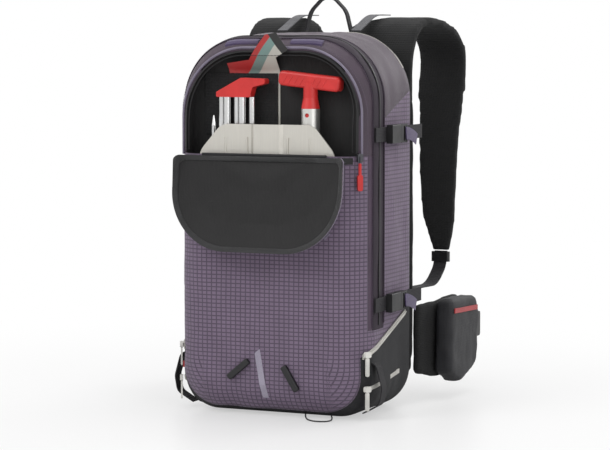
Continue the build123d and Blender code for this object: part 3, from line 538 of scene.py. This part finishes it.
def leafMaterial():
    # blank printed card: red edge, green field, cream middle and a dark end
    graph = Graph("leafCard")
    place = graph.add("ShaderNodeTexCoord", None, None, "Object")
    x, z = (graph.add("ShaderNodeSeparateXYZ", None, {0: place}, n) for n in (0, 2))
    slant = (z * 0.663 - x * 0.748) * 1000
    cream = graph.tint((0.5, 0.5, 0.45), (0.5, 0.49, 0.44), graph.cloudy(place, 300))
    tone = graph.tint(cream, (0.17, 0.27, 0.25), graph.smooth(slant, 338, 339))
    tone = graph.tint(tone, (0.42, 0.03, 0.03), graph.smooth(slant, 350, 351))
    tone = graph.tint(tone, (0.02, 0.02, 0.02), graph.smooth((z * 0.555 + x * 0.832) * 1000, 293, 294))
    curl = graph.cloudy(place, 60) * (0.4 * milli)
    return graph.finish(colour=tone, roughness=0.45, normal=graph.raised(curl))


leafCard = leafMaterial()


# The bag's shell: one dense skin, cut along its seams into panels.
print("cutting the panels")
puffs = {"seam": 16, "pull": 0.7, "rise": 1.6, "folds": 2.6, "creases": 0.8, "foot": 8, "rear": 70}
strapPress = {"levels": (394, 158), "half": 18, "front": -90, "side": 120, "folds": 0.35, "lift": 0.4}
archMiddle = (pocket["half"] - pocket["corner"], pocket["top"] - pocket["corner"])  # the arch's corner centre
shellMiddle = {"front": 292, "back": 270}
shellCounts = {"outline": (16, 36, 84), "front": 26, "frontRoll": 22, "side": 26, "backRoll": 12, "back": 8}


def seamDistance(point):
    x, y, z = point
    gaps = []
    if z > seams["bandFoot"] - 10:
        gaps += [abs(y - seams["bandFront"]), abs(y - seams["bandBack"])]
    if y > seams["bandBack"]:
        part = (y - seams["bandBack"]) / (seams["back"] - seams["bandBack"])
        gaps.append(abs(z - blend(seams["upperFront"], seams["upperBack"], part)))
    if abs(x) > 60 and z > 20 and y > seams["baseFront"] - 6:
        gaps.append(abs(z - baseSeam(y)))
    gaps.append(abs(y - seams["back"]))
    if y < seams["edging"] + 4:
        gaps.append(abs(y - seams["edging"]))
        if z > pocket["hem"] - 40:
            corner = Vector((max(0.0, abs(x) - archMiddle[0]), max(0.0, z - archMiddle[1])))
            gaps.append(abs(corner.length - pocket["corner"]) if corner.y > 0 else abs(abs(x) - pocket["half"]))
        if z < pocket["hem"] + 6:
            gaps.append(abs(z - pocket["hem"]))
    return min(gaps)


def puffOut(point):
    x, y, z = point
    gap = seamDistance(point)
    fade = 1 - math.exp(-gap / puffs["seam"])
    lift = puffs["rise"] * fade - puffs["pull"]
    strapped = any(abs(z - level) < strapPress["half"] for level in strapPress["levels"])
    if strapped and y > strapPress["front"] and abs(x) > strapPress["side"]:
        fade *= strapPress["folds"]
        lift = min(lift, strapPress["lift"])
    if z < puffs["foot"] or y > puffs["rear"]:
        return 0.0
    tall = Vector((x, y * 1.3, z * 0.45))
    folds = ripple(tall, 34, 3.1) * puffs["folds"] + ripple(point, 17, 7.7) * puffs["creases"]
    return lift + folds * fade


def shellRing(y, half, low, high):
    outline = roundedOutline(half, low, high, bag["baseCorner"], bag["topCorner"], shellCounts["outline"])
    return [Vector((x, y, z)) for x, z in outline]


def buildShell():
    rings = []
    face = shellRing(*sectionAt(0, -1))
    frontPole = Vector((0, -halfDeep, shellMiddle["front"]))
    backPole = Vector((0, halfDeep, shellMiddle["back"]))
    for n in range(shellCounts["front"]):
        rings.append([frontPole.lerp(point, (n + 0.35) / shellCounts["front"]) for point in face])
    for n in range(shellCounts["frontRoll"] + 1):
        rings.append(shellRing(*sectionAt(math.pi / 2 * n / shellCounts["frontRoll"], -1)))
    frontSeam, backStart = -halfDeep + bag["frontRoll"][0], halfDeep - bag["backRoll"][0]
    for n in range(1, shellCounts["side"]):
        y = frontSeam + (backStart - frontSeam) * n / shellCounts["side"]
        high = bag["high"] - bag["lean"] * (halfDeep - y) / bag["deep"]
        rings.append(shellRing(y, halfWide, 0, high))
    for n in range(shellCounts["backRoll"], -1, -1):
        rings.append(shellRing(*sectionAt(math.pi / 2 * n / shellCounts["backRoll"], 1)))
    for n in range(shellCounts["back"], 0, -1):
        rings.append([backPole.lerp(point, n / (n + 1)) for point in rings[-1]])
    points, faces = grid(rings, closed=True)
    count = len(rings[0])
    points += [frontPole, backPole]
    faces += [(m, len(points) - 2, (m + 1) % count) for m in range(count)]
    last = (len(rings) - 1) * count
    faces += [(last + m, last + (m + 1) % count, len(points) - 1) for m in range(count)]
    return points, faces


def cutShell():
    points, faces = buildShell()
    shell = bmesh.new()
    made = [shell.verts.new(point) for point in points]
    for face in faces:
        shell.faces.new([made[n] for n in face])
    bmesh.ops.recalc_face_normals(shell, faces=shell.faces)

    def cut(place, across):
        bmesh.ops.bisect_plane(shell, geom=shell.verts[:] + shell.edges[:] + shell.faces[:], dist=0.01,
                               plane_co=place, plane_no=across)

    for y in (seams["bandFront"], seams["bandBack"], seams["edging"], seams["back"], seams["baseFront"]):
        cut((0, y, 0), (0, 1, 0))
    for z in (seams["hem"], seams["bandFoot"]):
        cut((0, 0, z), (0, 0, 1))
    rise = Vector((0, seams["back"] - seams["baseFront"], seams["baseHigh"] - seams["baseLow"]))
    cut((0, seams["baseFront"], seams["baseLow"]), rise.cross(Vector((1, 0, 0))))
    rise = Vector((0, seams["back"] - seams["bandBack"], seams["upperBack"] - seams["upperFront"]))
    cut((0, seams["bandBack"], seams["upperFront"]), rise.cross(Vector((1, 0, 0))))
    return shell


def inArch(x, z):
    if abs(x) > pocket["half"] or z > pocket["top"] or z < pocket["hem"]:
        return False
    return math.hypot(max(0.0, abs(x) - archMiddle[0]), max(0.0, z - archMiddle[1])) < pocket["corner"]


def onArch(spot):
    # moves a place inside the arch out to its edge
    middle, level = archMiddle
    if spot.z <= level:
        x, z = math.copysign(pocket["half"], spot.x), spot.z
    elif abs(spot.x) <= middle:
        x, z = spot.x, pocket["top"]
    else:
        corner = Vector((abs(spot.x) - middle, spot.z - level)).normalized() * pocket["corner"]
        x, z = math.copysign(middle + corner.x, spot.x), level + corner.y
    return Vector((x, frontY(x, z), z))


def panelOf(centre):
    x, y, z = centre
    if y > seams["back"]:
        return "backPanel"
    if z < baseSeam(y) and y > seams["baseFront"]:
        return "basePanel"
    if z > seams["bandFoot"] and seams["bandFront"] < y < seams["bandBack"]:
        return "zipBand"
    if y < seams["bandFront"]:
        if z > seams["hem"]:
            return None if inArch(x, z) and y < -40 else "upperPanel"
        return "edging" if y > seams["edging"] and z > seams["bandFoot"] else "frontPanel"
    if y > seams["bandBack"]:
        part = (y - seams["bandBack"]) / (seams["back"] - seams["bandBack"])
        if z > seams["upperFront"] + (seams["upperBack"] - seams["upperFront"]) * part:
            return "upperPanel"
    return "sidePanels"


shell = cutShell()
panelFaces = {}
for face in shell.faces:
    centre = face.calc_center_median()
    panelFaces.setdefault(panelOf(centre), []).append(face)

panelFinish = {
    "frontPanel": (ripstop, ("front_panel",), "ripstop"),
    "sidePanels": (ripstop, ("side_panels",), "ripstop"),
    "zipBand": (darkPlum, ("zip_band",), "dark_plum"),
    "edging": (edgingCloth, (), "plum_fabric"),
    "upperPanel": (plumCloth, ("upper_panel",), "plum_fabric"),
    "basePanel": (blackCloth, ("base_panel",), "black_fabric"),
    "backPanel": (blackCloth, ("back_panel",), "black_fabric"),
}
for name, (material, stands, finish) in panelFinish.items():
    index, points, uv, faces = {}, [], [], []
    for face in panelFaces[name]:
        corners = []
        for vert in face.verts:
            if vert not in index:
                index[vert] = len(points)
                spot = vert.co.copy()
                if name == "upperPanel" and spot.y < seams["bandFront"] and inArch(spot.x, spot.z):
                    spot = onArch(spot)
                normal = surfaceNormal(spot)
                points.append(spot + normal * puffOut(spot))
                uv.append((wrapOf(spot), spot.z))
            corners.append(index[vert])
        faces.append(corners)
    panel = makePiece(name, points, faces, material, "pack", stands, uv=uv, crease=80)
    thicken(panel, bag["wall"])
shell.free()


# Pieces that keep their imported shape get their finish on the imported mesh.
print("finishing the packed pieces")
packedFinish = {
    lining: ["pocket_liner", "tool_sleeve"],
    meshCloth: ["document_pocket"],
    blackTape: ["pocket_zip", "pocket_hem", "frame_sheet"],
    blackWeb: ["compression_webbing", "ski_loops", "grab_handle", "strap_webbing", "belt_webbing_right",
               "belt_webbing_left"],
    greyWeb: ["load_lifters"],
    purpleWeb: ["top_tapes"],
    reflective: ["reflective_strip"],
    whiteTape: ["side_zips", "back_zip"],
    leafCard: ["leaflet"],
    redCloth: ["belt_zip_right", "belt_zip_left", "red_tag"],
    blackPlastic: ["buckle_sockets", "axe_toggles", "strap_adjusters", "belt_buckle_right",
                   "belt_buckle_left", "clip_upper_right", "clip_upper_left", "clip_lower_right",
                   "clip_lower_left"],
    redPlastic: ["shovel_grip", "probe_grip", "pocket_pull"],
    whitePlastic: ["side_pulls", "side_sliders"],
    sliderMetal: ["pocket_slider"],
    aluminium: ["shovel_blade", "frame_stays"],
    shaftMetal: ["shovel_shaft"],
    tubeMetal: ["probe_tubes"],
}


def flatMap(mesh, depth):
    # a flat map for a weave, in front view or with the depth added
    layer = mesh.uv_layers.new(name="UVMap") if not mesh.uv_layers else mesh.uv_layers[0]
    for loop in mesh.loops:
        spot = mesh.vertices[loop.vertex_index].co
        layer.data[loop.index].uv = (spot.x + spot.y * depth, spot.z)


for material, names in packedFinish.items():
    for name in names:
        packed = nodes[name].data
        packed.materials.clear()
        packed.materials.append(material)
        flatMap(packed, 1)

# Padded and sewn pieces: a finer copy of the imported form, swollen a little and rippled.
padding = {
    "backPadding": ("back_padding", "pack", paddingCloth, 5, 1.0, 0.6),
    "lumbarBelt": ("lumbar_belt", "pack", paddingCloth, 4, 1.0, 0.7),
    "strapRight": ("shoulder_strap_right", "pack", paddingCloth, 4, 0.8, 0.7),
    "strapLeft": ("shoulder_strap_left", "pack", paddingCloth, 4, 0.8, 0.7),
    "wingRight": ("belt_wing_right", "belt_wing_right", paddingCloth, 4, 0.8, 0.6),
    "wingLeft": ("belt_wing_left", "belt_wing_left", paddingCloth, 4, 0.8, 0.6),
    "pouchRight": ("belt_pouch_right", "belt_wing_right", blackRipstop, 4, 1.5, 0.5),
    "pouchLeft": ("belt_pouch_left", "belt_wing_left", blackRipstop, 4, 1.5, 0.5),
}


def mergedCopy(name, node, material, body):
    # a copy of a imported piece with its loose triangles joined, and that shape for more edits
    copied = nodes[node].data.copy()
    copied.materials.clear()
    piece = dressMesh(name, copied, material, body, (node,), smooth=False)
    shape = bmesh.new()
    shape.from_mesh(copied)
    bmesh.ops.remove_doubles(shape, verts=shape.verts, dist=0.02 * milli)
    shape.to_mesh(copied)
    return piece, shape


def softCopy(name, node, material, body, voxel, swell, seed):
    piece, shape = mergedCopy(name, node, material, body)
    shape.free()
    remake = piece.modifiers.new("remake", "REMESH")
    remake.mode = "VOXEL"
    remake.voxel_size = voxel * milli
    settle(piece)
    ease = piece.modifiers.new("ease", "SMOOTH")
    ease.factor = 0.5
    ease.iterations = 6
    settle(piece)
    piece.data.materials.clear()
    piece.data.materials.append(material)
    for vert in piece.data.vertices:
        spot = vert.co / milli
        lift = (ripple(spot, 26, seed) + ripple(spot, 11, seed + 4) * 0.3) * swell
        vert.co += vert.normal * (lift * milli)
    piece.data.shade_smooth()
    return piece


for name, (node, body, material, voxel, swell, fill) in padding.items():
    cushion = softCopy(name, node, material, body, voxel, swell, len(name) * 1.3)

# The flap: its packed layers, rippled as hanging cloth.
flapLayers = {
    "flapShell": ("flap_shell", ripstop, "flap_outer"),
    "flapLining": ("flap_lining", lining, "lining"),
    "flapBinding": ("flap_binding", blackTape, "black_fabric"),
    "flapPiping": ("flap_piping", lilacCloth, "lilac"),
}
flapHang = {"mesh": 12, "fade": 60, "stand": 0.9, "ripple": 1.3, "wave": 38}
for name, (node, material, finish) in flapLayers.items():
    layer, shape = mergedCopy(name, node, material, "flap")
    for _ in range(4):
        long = [edge for edge in shape.edges if edge.calc_length() > flapHang["mesh"] * milli]
        bmesh.ops.subdivide_edges(shape, edges=long, cuts=1)
    bmesh.ops.triangulate(shape, faces=shape.faces)
    for vert in shape.verts:
        spot = vert.co / milli
        drop = max(0.0, min(1.0, (pocket["hem"] - spot.z) / flapHang["fade"]))
        wave = ripple((spot.x, 0, spot.z * 0.5), flapHang["wave"], 5.0)
        vert.co.y += (flapHang["stand"] + flapHang["ripple"] * wave) * drop * milli
    shape.to_mesh(layer.data)
    shape.free()
    flatMap(layer.data, 0)
    layer.data.shade_smooth()
    layer.data.set_sharp_from_angle(angle=math.radians(40))

# The axe loop's cord.
cordRoute = [(50, -71, 6.6), (56, -90, 1.7), (75, -112, 1.3), (98, -108, 1.3), (99, -88, 1.7), (87, -71, 6.6)]
cordCurve = bpy.data.curves.new("axeCord", "CURVE")
cordCurve.dimensions = "3D"
cordCurve.bevel_depth = 1.0 * milli
cordCurve.bevel_resolution = 3
cordCurve.resolution_u = 16
cordLine = cordCurve.splines.new("NURBS")
cordLine.points.add(len(cordRoute) - 1)
for point, spot in zip(cordLine.points, cordRoute):
    point.co = (*(part * milli for part in spot), 1)
cordLine.order_u = 3
cordLine.use_endpoint_u = True
cordCurve.materials.append(blackPlastic)
cord = bpy.data.objects.new("axeCord", cordCurve)
bpy.context.scene.collection.objects.link(cord)
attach(cord, "pack")
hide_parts("axe_cord_loop")


# Rows of small blocks along a line: zip teeth and stitches.
print("sewing")


def rowTree():
    tree = bpy.data.node_groups.new("rowOfBlocks", "GeometryNodeTree")
    sockets = {"Geometry": "Geometry", "Step": "Float", "Block": "Vector", "Finish": "Material"}
    for name, kind in sockets.items():
        tree.interface.new_socket(name, in_out="INPUT", socket_type="NodeSocket" + kind)
    tree.interface.new_socket("Geometry", in_out="OUTPUT", socket_type="NodeSocketGeometry")
    start, end = tree.nodes.new("NodeGroupInput"), tree.nodes.new("NodeGroupOutput")
    spaced = tree.nodes.new("GeometryNodeResampleCurve")
    spaced.mode = "LENGTH"
    block = tree.nodes.new("GeometryNodeMeshCube")
    ahead = tree.nodes.new("GeometryNodeInputTangent")
    turn = tree.nodes.new("FunctionNodeAlignRotationToVector")
    placed = tree.nodes.new("GeometryNodeInstanceOnPoints")
    real = tree.nodes.new("GeometryNodeRealizeInstances")
    finish = tree.nodes.new("GeometryNodeSetMaterial")
    turn.axis = "X"
    links = (
        (start.outputs["Geometry"], spaced.inputs["Curve"]),
        (start.outputs["Step"], spaced.inputs["Length"]),
        (start.outputs["Block"], block.inputs["Size"]),
        (start.outputs["Finish"], finish.inputs["Material"]),
        (ahead.outputs[0], turn.inputs["Vector"]),
        (turn.outputs[0], placed.inputs["Rotation"]),
        (spaced.outputs[0], placed.inputs["Points"]),
        (block.outputs["Mesh"], placed.inputs["Instance"]),
        (placed.outputs[0], real.inputs[0]),
        (real.outputs[0], finish.inputs["Geometry"]),
        (finish.outputs[0], end.inputs[0]),
    )
    for a, b in links:
        tree.links.new(a, b)
    return tree


rowOfBlocks = rowTree()


def blockRow(name, path, step, block, material, body):
    line = bpy.data.curves.new(name + "Line", "CURVE")
    line.dimensions = "3D"
    spline = line.splines.new("POLY")
    spline.points.add(len(path) - 1)
    for point, spot in zip(spline.points, path):
        point.co = (*(spot * milli), 1)
    carrier = bpy.data.objects.new(name + "Line", line)
    bpy.context.scene.collection.objects.link(carrier)
    row = carrier.modifiers.new("row", "NODES")
    row.node_group = rowOfBlocks
    values = {"Step": step * milli, "Block": tuple(part * milli for part in block), "Finish": material}
    for item in rowOfBlocks.interface.items_tree:
        if item.in_out == "INPUT" and item.name in values:
            row[item.identifier] = values[item.name]
    made = bpy.data.meshes.new_from_object(carrier.evaluated_get(bpy.context.evaluated_depsgraph_get()))
    bpy.data.objects.remove(carrier)
    made.materials.clear()
    return dressMesh(name, made, material, body, (), smooth=False)


def sideLine(points, side, lift=1.0, count=60):
    path = cutPath([Vector((0, y, z)) for y, z in points], 0, 1, count)
    line = []
    for spot in path:
        point = Vector((side * sideX(spot.y, spot.z), spot.y, spot.z))
        line.append(point + surfaceNormal(point) * lift)
    return line


rimPath = onFront(archOutline(2.4, low=364), 1.0)
tube("rimPiping", rimPath, 1.7, lilacCloth, "pack", ("pocket_piping",))
hemPath = [Vector((x, -103.4, 365.5)) for x in range(-94, 95, 4)]
tube("hemRoll", hemPath, 2.4, blackCloth, "pack", ())
teeth = {"step": 2.2, "block": (1.3, 1.8, 1.4), "inset": -5.0, "sunk": -4.6}
teethPath = onFront(archOutline(teeth["inset"], low=372), teeth["sunk"])
blockRow("pocketTeeth", teethPath, teeth["step"], teeth["block"], blackPlastic, "pack")
for side, word in ((1, "Right"), (-1, "Left")):
    zipLine = sideLine([(-75, baseSeam(-78) + 1), (62, baseSeam(62) - 4)], side, 2.2)
    blockRow("sideTeeth" + word, zipLine, 2.0, (1.2, 2.2, 1.2), whitePlastic, "pack")
stitch = {"step": 3.6, "block": (2.2, 0.5, 0.5)}


def overTop(y, lift, count, low):
    return [point for point in loopAt(y, lift, count=count) if point.z > low]


for y, word in ((seams["bandFront"], "Front"), (seams["bandBack"], "Back")):
    name = "bandStitch" + word
    seam = overTop(y - 2.5, 1.0, 300, 126)
    blockRow(name, seam, stitch["step"], stitch["block"], thread, "pack")
    tube(name + "Piping", overTop(y, 0.2, 220, 126), 1.1, darkPlum, "pack", (), sides=8)
blockRow("mainZipCoil", overTop(-37, 0.9, 300, 130), 1.9, (1.1, 4.4, 1.6), blackPlastic, "pack")
seamPath = onFront(archOutline(7.0, low=368), 1.6)
blockRow("rimStitch", seamPath, stitch["step"], stitch["block"], thread, "pack")
hemLine = 358
hemPath = [Vector((x, frontY(x, hemLine) - 1.9, hemLine)) for x in range(-118, 119, 4)]
blockRow("hemStitch", hemPath, stitch["step"], stitch["block"], thread, "pack")

# The shovel grip's slanting ribs, none over its neck, and the blade's pressed ribs.
gripRibs = {"step": 8.5, "tilt": 6, "middle": 57, "front": -79.6, "low": 462, "high": 473, "thick": 1.3}
for n in (0, 1, 2, 3, 5, 6, 7):
    across = (n - 4) * gripRibs["step"]
    drop = -across * math.tan(math.radians(gripRibs["tilt"]))
    low = Vector((gripRibs["middle"] + across - 5, gripRibs["front"], gripRibs["low"] + drop))
    high = Vector((gripRibs["middle"] + across + 2, gripRibs["front"], gripRibs["high"] + drop))
    rib = [low.lerp(high, k / 4) for k in range(5)]
    tube(f"gripRib{n}", rib, gripRibs["thick"], redPlastic, "pack", (), sides=8)
for n, x in enumerate((-62, -30, 30, 62)):
    line = [Vector((x * (1 + 0.0004 * k), -91.4, 300 + k)) for k in range(0, 92, 6)]
    tube(f"bladeRib{n}", line, 1.5, aluminium, "shovel_blade", (), sides=8)

# Lilac pull tabs at the flap's corners.
for side, word in ((1, "Right"), (-1, "Left")):
    tab = [Vector((side * (92 + k), -124 - k * 0.2, 272 - k)) for k in range(0, 15, 2)]
    ribbon("flapTab" + word, tab, Vector((0, -1, 0)), 11, 1.2, lilacCloth, "flap")

# Purple strap tails that hang from the clips.
for level, high in zip(("upper", "lower"), strapPress["levels"]):
    for side, word in ((1, "right"), (-1, "left")):
        tail = [Vector((side * (157.5 + k * 0.18), 32 + k, high - 0.012 * k * k)) for k in range(0, 29, 4)]
        name, out = f"strapTail_{level}_{word}", Vector((side, 0, 0.1))
        ribbon(name, tail, out, 18, 1.4, purpleWeb, f"clip_{level}_{word}")


# The studio: a pale floor, soft lamps and the camera.
print("lighting")
studio = {"eye": 530, "far": 3300, "azimuth": 24, "pitch": 4.65, "lens": 137.1, "shift": 0.018}
scene = bpy.context.scene
scene.view_settings.view_transform = "Standard"
azimuth = math.radians(studio["azimuth"])
lensData = bpy.data.cameras.new("camera")
lensData.lens = studio["lens"]
lensData.sensor_width = 36
lensData.shift_x = studio["shift"]
camera = bpy.data.objects.new("camera", lensData)
across, away = math.sin(azimuth) * studio["far"], -math.cos(azimuth) * studio["far"]
camera.location = Vector((across, away, studio["eye"])) * milli
camera.rotation_euler = (math.radians(90 - studio["pitch"]), 0, azimuth)
scene.collection.objects.link(camera)
scene.camera = camera

lamps = {
    "key": ((-1.3, -1.9, 2.1), 1.6, 27),
    "fill": ((2.2, -1.6, 1.2), 1.8, 14),
    "top": ((0.2, 0.3, 2.6), 1.6, 18),
    "rim": ((1.2, 2.0, 1.6), 1.2, 16),
}
for name, (place, size, power) in lamps.items():
    lampData = bpy.data.lights.new(name, "AREA")
    lampData.shape = "DISK"
    lampData.size = size
    lampData.energy = power
    lamp = bpy.data.objects.new(name, lampData)
    lamp.location = place
    lamp.rotation_euler = (Vector((0, 0, 0.25)) - Vector(place)).to_track_quat("-Z", "Y").to_euler()
    scene.collection.objects.link(lamp)

world = bpy.data.worlds.new("studioAir")
world.use_nodes = True
scene.world = world
air = world.node_tree
air.nodes.clear()
ray = air.nodes.new("ShaderNodeLightPath")
seen = air.nodes.new("ShaderNodeMath")
seen.operation = "MAXIMUM"
air.links.new(ray.outputs["Is Camera Ray"], seen.inputs[0])
air.links.new(ray.outputs["Is Transmission Ray"], seen.inputs[1])
seenOrGloss = air.nodes.new("ShaderNodeMath")
seenOrGloss.operation = "MAXIMUM"
air.links.new(seen.outputs[0], seenOrGloss.inputs[0])
air.links.new(ray.outputs["Is Glossy Ray"], seenOrGloss.inputs[1])
level = air.nodes.new("ShaderNodeMapRange")
level.inputs[3].default_value = 0.5
level.inputs[4].default_value = 1.0
air.links.new(seenOrGloss.outputs[0], level.inputs[0])
backdrop = air.nodes.new("ShaderNodeBackground")
backdrop.inputs["Color"].default_value = (1, 1, 1, 1)
air.links.new(level.outputs[0], backdrop.inputs["Strength"])
air.links.new(backdrop.outputs[0], air.nodes.new("ShaderNodeOutputWorld").inputs["Surface"])

floorGraph = Graph("paleFloor")
floorRay = floorGraph.add("ShaderNodeLightPath", None, None, "Is Camera Ray")
pale = {"Base Color": (0.86, 0.86, 0.86), "Roughness": 0.35}
matte = floorGraph.add("ShaderNodeBsdfPrincipled", None, pale)
glow = floorGraph.add("ShaderNodeEmission", None, {"Color": (1, 1, 1), "Strength": 1.0})
floorPlace = floorGraph.add("ShaderNodeTexCoord", None, None, "Object")
farOff = floorGraph.add("ShaderNodeVectorMath", {"operation": "LENGTH"}, {0: floorPlace}, "Value")
lift = floorGraph.smooth(farOff, 0.15, 1.1, 0.5, 1.0)
mixed = floorGraph.add("ShaderNodeMixShader", None, {0: floorRay * lift, 1: matte, 2: glow})
floorGraph.add("ShaderNodeOutputMaterial", None, {"Surface": mixed})
floorMesh = bpy.data.meshes.new("floor")
far, under = 30, -0.3 * milli  # metres
corners = [(-far, -far, under), (far, -far, under), (far, far, under), (-far, far, under)]
floorMesh.from_pydata(corners, [], [(0, 1, 2, 3)])
floorMesh.materials.append(floorGraph.material)
floor = bpy.data.objects.new("floor", floorMesh)
scene.collection.objects.link(floor)
